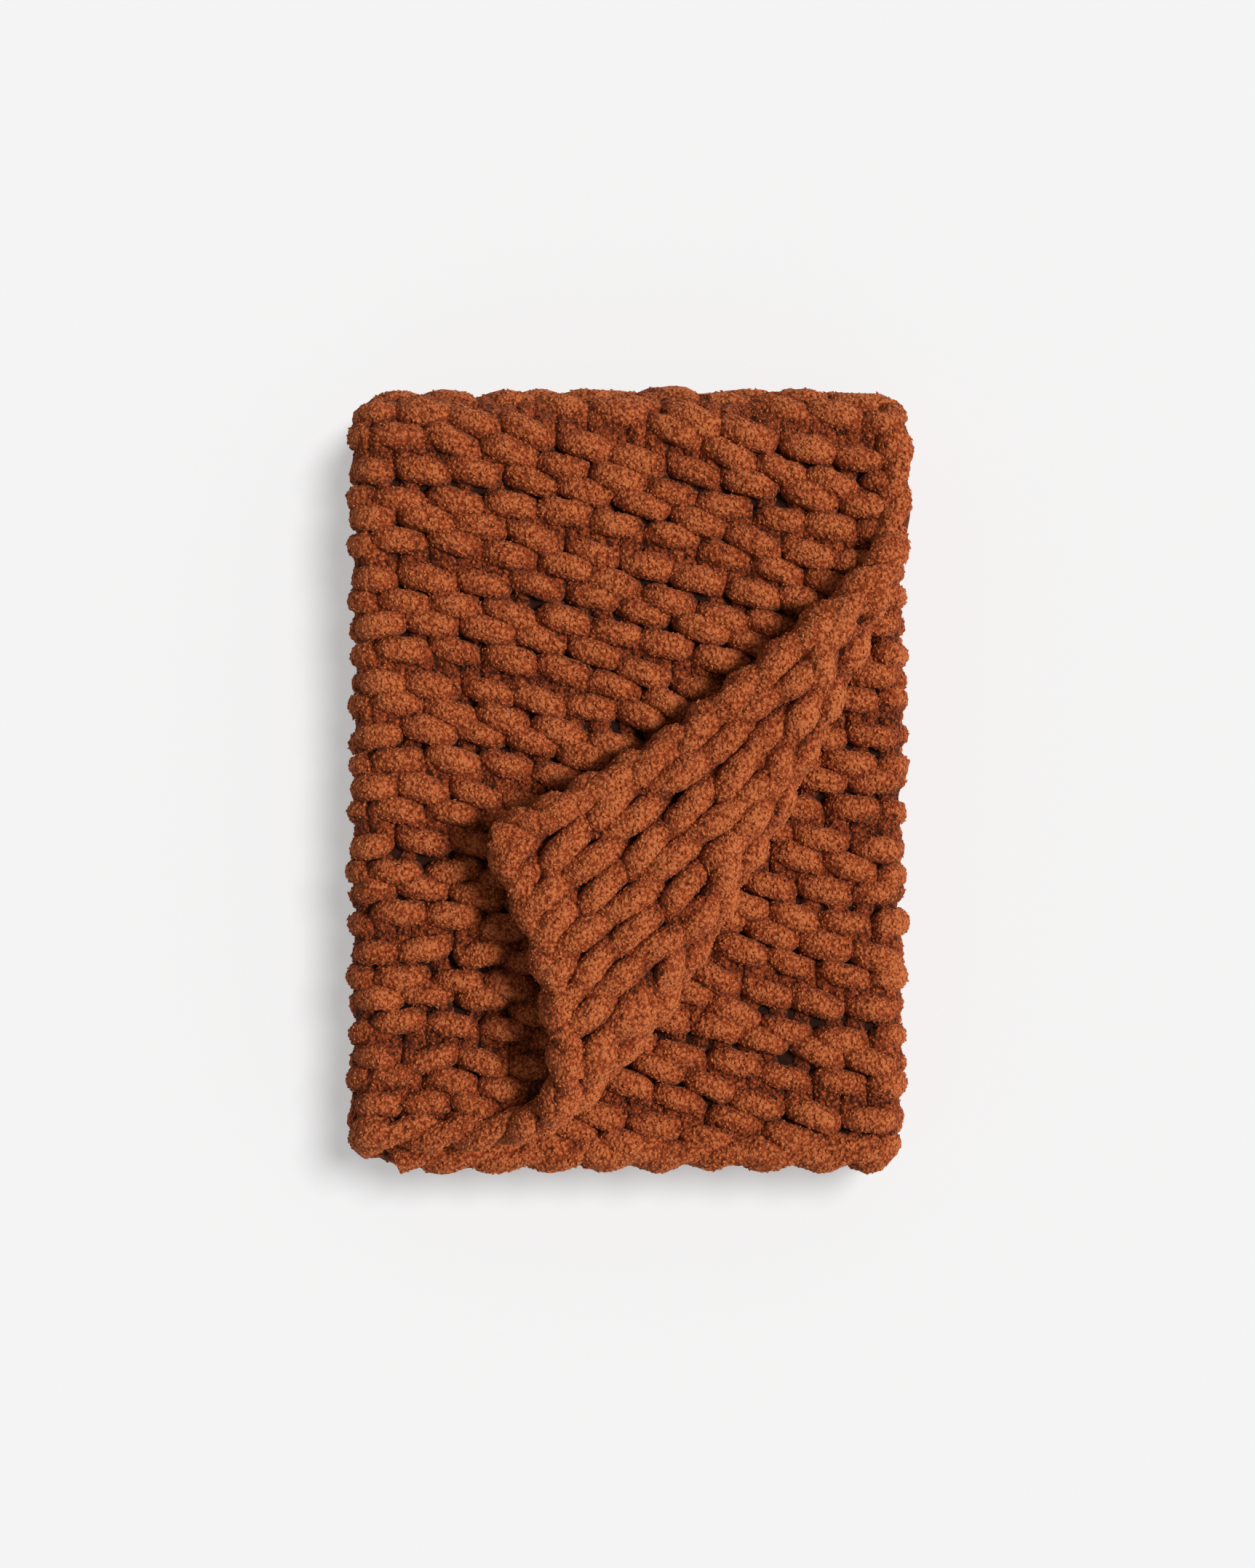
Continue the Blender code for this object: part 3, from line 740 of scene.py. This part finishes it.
# %% The yarn tree
def yarn_tree():
    tree, given = new_tree(
        "spin_yarn",
        {"Step": "Float", "Sides": "Int", "Lump size": "Float", "Lump height": "Float",
         "Tuft size": "Float", "Tuft height": "Float", "Finish": "Material"},
    )
    curve = add(tree, "GeometryNodeMeshToCurve", {"Mesh": given["Geometry"]})
    even = add(tree, "GeometryNodeResampleCurve",
               {"Curve": curve.outputs[0], "Length": given["Step"]}, mode="LENGTH")
    outline = add(tree, "GeometryNodeCurvePrimitiveCircle",
                  {"Resolution": given["Sides"], "Radius": 1.0})
    radius = add(tree, "GeometryNodeInputNamedAttribute", {"Name": "yarn_radius"}, data_type="FLOAT")
    tube = add(
        tree,
        "GeometryNodeCurveToMesh",
        {"Curve": even.outputs[0], "Profile Curve": outline.outputs[0], "Scale": radius.outputs[0],
         "Fill Caps": True},
    )
    at = add(tree, "GeometryNodeInputPosition").outputs[0]
    shift = None
    for size, height in (("Lump size", "Lump height"), ("Tuft size", "Tuft height")):
        scale = add(tree, "ShaderNodeMath",
                    {"Value": 1.0, "Value_001": given[size]}, operation="DIVIDE")
        noise = add(tree, "ShaderNodeTexNoise",
                    {"Vector": at, "Scale": scale.outputs[0], "Detail": 1.0})
        centred = add(tree, "ShaderNodeMath",
                      {"Value": noise.outputs[0], "Value_001": 0.5}, operation="SUBTRACT")
        push = add(tree, "ShaderNodeMath",
                   {"Value": centred.outputs[0], "Value_001": given[height]}, operation="MULTIPLY")
        if shift is None:
            shift = push.outputs[0]
        else:
            shift = add(tree, "ShaderNodeMath",
                        {"Value": shift, "Value_001": push.outputs[0]}).outputs[0]
    normal = add(tree, "GeometryNodeInputNormal").outputs[0]
    offset = add(tree, "ShaderNodeVectorMath", {"Vector": normal, "Scale": shift}, operation="SCALE")
    lumpy = add(tree, "GeometryNodeSetPosition",
                {"Geometry": tube.outputs[0], "Offset": offset.outputs[0]})
    # How far each point lies out of the cloth's middle is kept, so that the material can paint shade on the
    # deep points and light on the outer ones.
    way_out = add(tree, "GeometryNodeInputNamedAttribute",
                  {"Name": "way_out"}, data_type="FLOAT_VECTOR").outputs[0]
    lift = add(tree, "GeometryNodeInputNamedAttribute", {"Name": "lift"}, data_type="FLOAT").outputs[0]
    facing = add(tree, "ShaderNodeVectorMath",
                 {"Vector": way_out, "Vector_001": normal}, operation="DOT_PRODUCT")
    depth = add(tree, "ShaderNodeMath",
                {"Value": facing.outputs["Value"], "Value_001": radius.outputs[0], "Value_002": lift},
                operation="MULTIPLY_ADD")
    marked = add(tree, "GeometryNodeStoreNamedAttribute",
                 {"Geometry": lumpy.outputs[0], "Name": "depth", "Value": depth.outputs[0]},
                 data_type="FLOAT", domain="POINT")
    smooth = add(tree, "GeometryNodeSetShadeSmooth",
                 {"Geometry": marked.outputs[0], "Shade Smooth": True})
    real = add(tree, "GeometryNodeRealizeInstances", {"Geometry": smooth.outputs[0]})
    finished = add(tree, "GeometryNodeSetMaterial",
                   {"Geometry": real.outputs[0], "Material": given["Finish"]})
    add(tree, "NodeGroupOutput", {"Geometry": finished.outputs[0]})
    return tree


YARN_TREE = yarn_tree()

# %% [markdown]
# From paths to yarn
#
# The stretches of a group become one mesh of bare edges, which carries the radius and the way out
# as attributes. The tree turns it into tubes. Where the lowest ply meets the floor its yarn is
# pressed flat, so the height of each point there is eased to stay above zero.

# %% Make the yarn
SOFT_FLOOR = 0.004


def path_object(name, parts):
    points = np.concatenate([part[0] for part in parts])
    radii = np.concatenate([part[1] for part in parts])
    outs = np.concatenate([part[2] for part in parts])
    lifts = np.concatenate([part[3] for part in parts])
    edges, first = [], 0
    for part in parts:
        last = first + len(part[0])
        edges += [(i, i + 1) for i in range(first, last - 1)]
        first = last
    mesh = bpy.data.meshes.new(name)
    mesh.from_pydata(points.tolist(), edges, [])
    for label, values in (("yarn_radius", radii), ("lift", lifts)):
        attribute = mesh.attributes.new(label, "FLOAT", "POINT")
        attribute.data.foreach_set("value", values.astype(np.float32))
    attribute = mesh.attributes.new("way_out", "FLOAT_VECTOR", "POINT")
    attribute.data.foreach_set("vector", outs.astype(np.float32).ravel())
    obj = bpy.data.objects.new(name, mesh)
    bpy.context.scene.collection.objects.link(obj)
    return obj


def mesh_points(mesh):
    flat = np.empty(3 * len(mesh.vertices), np.float32)
    mesh.vertices.foreach_get("co", flat)
    return flat.reshape(-1, 3)


def press_on_floor(obj):
    points = mesh_points(obj.data)
    low = points[:, 2] < SOFT_FLOOR
    points[low, 2] = SOFT_FLOOR * np.exp((points[low, 2] - SOFT_FLOOR) / SOFT_FLOOR)
    obj.data.vertices.foreach_set("co", points.ravel())
    obj.data.update()


def triangles(obj):
    return sum(len(polygon.vertices) - 2 for polygon in obj.data.polygons)


pieces = []
for name, (step, sides) in GROUPS.items():
    yarn = path_object(f"yarn_{name}", stretches[name])
    run_tree(yarn, YARN_TREE, {
        "Step": step, "Sides": sides, "Lump size": 12 * MM, "Lump height": 5.0 * MM,
        "Tuft size": 5.0 * MM, "Tuft height": 3.0 * MM, "Finish": YARN_FINISH,
    })
    press_on_floor(yarn)
    pieces.append(yarn)
    print(yarn.name, triangles(yarn), "triangles")

# %% [markdown]
# Planting the pile
#
# Chenille is soft because thousands of fibre ends stand out of it in small tufts. Each tuft here
# is a grain of six faces, a few millimetres long, that leans over at random. A second tree plants
# them on the yarn, evenly spaced, wherever the yarn faces out of the blanket.

# %% The pile tree
def pile_tree():
    tree, given = new_tree(
        "plant_pile",
        {"Spacing": "Float", "Tuft length": "Float", "Tuft width": "Float", "Seed": "Int",
         "Finish": "Material"},
    )
    way_out = add(tree, "GeometryNodeInputNamedAttribute",
                  {"Name": "way_out"}, data_type="FLOAT_VECTOR").outputs[0]
    normal = add(tree, "GeometryNodeInputNormal").outputs[0]
    facing = add(tree, "ShaderNodeVectorMath",
                 {"Vector": way_out, "Vector_001": normal}, operation="DOT_PRODUCT")
    known = add(tree, "ShaderNodeVectorMath", {"Vector": way_out}, operation="LENGTH")
    toward = add(tree, "ShaderNodeMath",
                 {"Value": facing.outputs["Value"], "Value_001": known.outputs["Value"]},
                 operation="SUBTRACT")
    wanted = add(tree, "ShaderNodeMapRange",
                 {"Value": toward.outputs[0], "From Min": -1.15, "From Max": -0.75}, clamp=True)
    dense = add(tree, "ShaderNodeMath",
                {"Value": given["Spacing"], "Value_001": -2.0}, operation="POWER")
    points = add(
        tree,
        "GeometryNodeDistributePointsOnFaces",
        {"Mesh": given["Geometry"], "Distance Min": given["Spacing"], "Density Max": dense.outputs[0],
         "Density Factor": wanted.outputs[0], "Seed": given["Seed"]},
        distribute_method="POISSON",
    )
    grain = add(tree, "GeometryNodeMeshUVSphere", {"Segments": 3, "Rings": 2, "Radius": 1.0})
    half = add(tree, "ShaderNodeMath",
               {"Value": given["Tuft length"], "Value_001": 0.5}, operation="MULTIPLY")
    oval = add(tree, "ShaderNodeMath",
               {"Value": given["Tuft width"], "Value_001": 1.4}, operation="MULTIPLY")
    size = add(tree, "ShaderNodeCombineXYZ",
               {"X": oval.outputs[0], "Y": given["Tuft width"], "Z": half.outputs[0]})
    height = add(tree, "ShaderNodeSeparateXYZ",
                 {"Vector": add(tree, "GeometryNodeInputPosition").outputs[0]})
    # How far along each grain a point lies, from 0 at its base to 1 at its tip, so that the material can
    # paint a highlight on the tips.
    tip = add(tree, "ShaderNodeMath",
              {"Value": height.outputs["Z"], "Value_001": 0.5, "Value_002": 0.5},
              operation="MULTIPLY_ADD")
    marked = add(tree, "GeometryNodeStoreNamedAttribute",
                 {"Geometry": grain.outputs[0], "Name": "tip", "Value": tip.outputs[0]},
                 data_type="FLOAT", domain="POINT")
    raised = add(tree, "ShaderNodeMath", {"Value": given["Tuft length"], "Value_001": 0.2},
                 operation="MULTIPLY")
    lift = add(tree, "ShaderNodeCombineXYZ", {"Z": raised.outputs[0]})
    tuft = add(tree, "GeometryNodeTransform",
               {"Geometry": marked.outputs[0], "Scale": size.outputs[0], "Translation": lift.outputs[0]})
    lean = add(tree, "FunctionNodeRandomValue",
               {"Min": (1.15, 0.0, 0.0), "Max": (1.60, 0.0, 6.2832), "Seed": given["Seed"]},
               data_type="FLOAT_VECTOR")
    turned = add(tree, "FunctionNodeRotateRotation",
                 {"Rotation": points.outputs["Rotation"], "Rotate By": lean.outputs[0]},
                 rotation_space="LOCAL")
    grown = add(tree, "FunctionNodeRandomValue",
                {"Min_001": 0.75, "Max_001": 1.25, "Seed": given["Seed"]}, data_type="FLOAT")
    planted = add(
        tree,
        "GeometryNodeInstanceOnPoints",
        {"Points": points.outputs["Points"], "Instance": tuft.outputs[0], "Rotation": turned.outputs[0],
         "Scale": grown.outputs[1]},
    )
    real = add(tree, "GeometryNodeRealizeInstances", {"Geometry": planted.outputs[0]})
    smooth = add(tree, "GeometryNodeSetShadeSmooth",
                 {"Geometry": real.outputs[0], "Shade Smooth": True})
    finished = add(tree, "GeometryNodeSetMaterial",
                   {"Geometry": smooth.outputs[0], "Material": given["Finish"]})
    add(tree, "NodeGroupOutput", {"Geometry": finished.outputs[0]})
    return tree


PILE_TREE = pile_tree()

# %% [markdown]
# The pile of each group
#
# What is seen from above gets a dense pile, and the sides a sparser one. The hidden yarn has none.
# The tree runs on a second object that shares the yarn's mesh, so the yarn itself stays as it is.

# %% Plant the pile
TUFT_LENGTH = 4.6 * MM
TUFT_WIDTH = 1.0 * MM
# name of the yarn group: spacing of its tufts in metres
PILE = {"field": 0.0033, "corner": 0.0033, "bared": 0.0034, "sides": 0.0050}
yarns = {piece.name: piece for piece in pieces}
for seed, (name, spacing) in enumerate(PILE.items()):
    pile = bpy.data.objects.new(f"pile_{name}", yarns[f"yarn_{name}"].data)
    bpy.context.scene.collection.objects.link(pile)
    run_tree(pile, PILE_TREE, {
        "Spacing": spacing, "Tuft length": TUFT_LENGTH, "Tuft width": TUFT_WIDTH, "Seed": seed,
        "Finish": PILE_FINISH,
    })
    press_on_floor(pile)
    pieces.append(pile)
    print(pile.name, triangles(pile), "triangles")

# %% [markdown]
# The middle of the cloth
#
# Behind the stitches that face you lies the rest of the knitting, where the loops lock. We make it
# as one thin folded sheet through the middle of every ply, in the colour of yarn in the shade. It
# closes the holes between the stitches, and it measures what the unfolded blanket measures.

# %% The folded sheet
SHEET_THICKNESS = 0.0016
SHEET_INSET = 0.020
FINE_STEP = 0.018
COARSE_STEP = 0.032


def stations(ends, steps, inset):
    found = []
    for start, end, step in zip(ends[:-1], ends[1:], steps):
        count = max(1, round((end - start) / step))
        found += list(np.linspace(start, end, count + 1)[:-1])
    inner = [value for value in found if 1.5 * inset < value < ends[-1] - 1.5 * inset]
    return np.array([inset, *inner, ends[-1] - inset])


def folded_sheet():
    across_steps = [FINE_STEP, LEFT_TURN / 10, COARSE_STEP, RIGHT_TURN / 8, FINE_STEP]
    across = stations(ACROSS_ENDS, across_steps, SHEET_INSET)
    along = stations(ALONG_ENDS, [FINE_STEP, FAR_TURN / 12, COARSE_STEP], SHEET_INSET)
    grid_along, grid_across = np.meshgrid(along, across, indexing="ij")
    points = place(grid_across.ravel(), grid_along.ravel(), np.zeros(grid_across.size))
    wide = len(across)
    corners = [j * wide + i for j in range(len(along) - 1) for i in range(wide - 1)]
    faces = [(c, c + wide, c + wide + 1, c + 1) for c in corners]
    mesh = bpy.data.meshes.new("knit_middle")
    mesh.from_pydata(points.tolist(), [], faces)
    mesh.shade_smooth()
    mesh.materials.append(SHADE_FINISH)
    sheet = bpy.data.objects.new("knit_middle", mesh)
    bpy.context.scene.collection.objects.link(sheet)
    thick = sheet.modifiers.new("thickness", "SOLIDIFY")
    thick.thickness = SHEET_THICKNESS
    thick.offset = 0.0
    return sheet


middle = folded_sheet()
print("knit_middle", triangles(middle), "triangles before its thickness")

# %% [markdown]
# Joining the pieces to the frame
#
# Everything here is one piece of knitting, so all of it rides on the one body and stands for the
# solid cloth, which is hidden.

# %% Ride and replace
for piece in [*pieces, middle]:
    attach(piece, "root")
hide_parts("knit_cloth")

# %% [markdown]
# Floor, light and camera
#
# The photo looks straight down on a pale, even floor. Broad light comes from the right and above,
# so shadows fall to the lower left and are soft, and the room fills in the rest. One lamp could
# light everything, but then the floor's brightness and its shadow can't be set apart from the
# blanket's. So light linking gives the blanket one lamp and the floor another, and the floor
# glows a little, as paper does that is lit from all round.

# %% The stage
STAGE_WIDTH = 8.0
CAMERA_ABOVE = 3.0
FRAME_HEIGHT = 1.4014
PACKET_TOP = 0.12
# tilt from straight down, heading, spread in degrees and strength
LAMPS = {"lamp_for_blanket": (43, 5, 18, 3.50), "lamp_for_floor": (21, 38, 17, 3.3)}

bpy.ops.mesh.primitive_plane_add(size=STAGE_WIDTH, location=(0, 0, 0))
floor = bpy.context.object
floor.name = "floor"
floor_finish = bpy.data.materials.new("pale_paper")
floor_finish.use_nodes = True
floor_shader = floor_finish.node_tree.nodes["Principled BSDF"]
floor_shader.inputs["Base Color"].default_value = linear("#ACACAC")
floor_shader.inputs["Roughness"].default_value = 1.0
floor_shader.inputs["Specular IOR Level"].default_value = 0.0
floor_shader.inputs["Emission Color"].default_value = (1, 1, 1, 1)
floor_shader.inputs["Emission Strength"].default_value = 0.40
floor.data.materials.append(floor_finish)

lit = {"lamp_for_blanket": [*pieces, middle], "lamp_for_floor": [floor]}
for name, (tilt, heading, spread, strength) in LAMPS.items():
    lamp_data = bpy.data.lights.new(name, "SUN")
    lamp_data.energy = strength
    lamp_data.angle = math.radians(spread)
    lamp = bpy.data.objects.new(name, lamp_data)
    lamp.rotation_euler = (0, math.radians(tilt), math.radians(heading))
    bpy.context.scene.collection.objects.link(lamp)
    receivers = bpy.data.collections.new(name + "_lights")
    for obj in lit[name]:
        receivers.objects.link(obj)
    lamp.light_linking.receiver_collection = receivers

world = bpy.data.worlds.new("room_light")
world.use_nodes = True
world.node_tree.nodes["Background"].inputs["Color"].default_value = (1, 1, 1, 1)
world.node_tree.nodes["Background"].inputs["Strength"].default_value = 0.25
bpy.context.scene.world = world
bpy.context.scene.view_settings.view_transform = "Standard"

camera_data = bpy.data.cameras.new("camera")
camera_data.sensor_fit = "VERTICAL"
camera_data.angle_y = 2 * math.atan(FRAME_HEIGHT / 2 / CAMERA_ABOVE)
camera = bpy.data.objects.new("camera", camera_data)
camera.location = (-0.0007, -0.0036, PACKET_TOP + CAMERA_ABOVE)
bpy.context.scene.collection.objects.link(camera)
bpy.context.scene.camera = camera
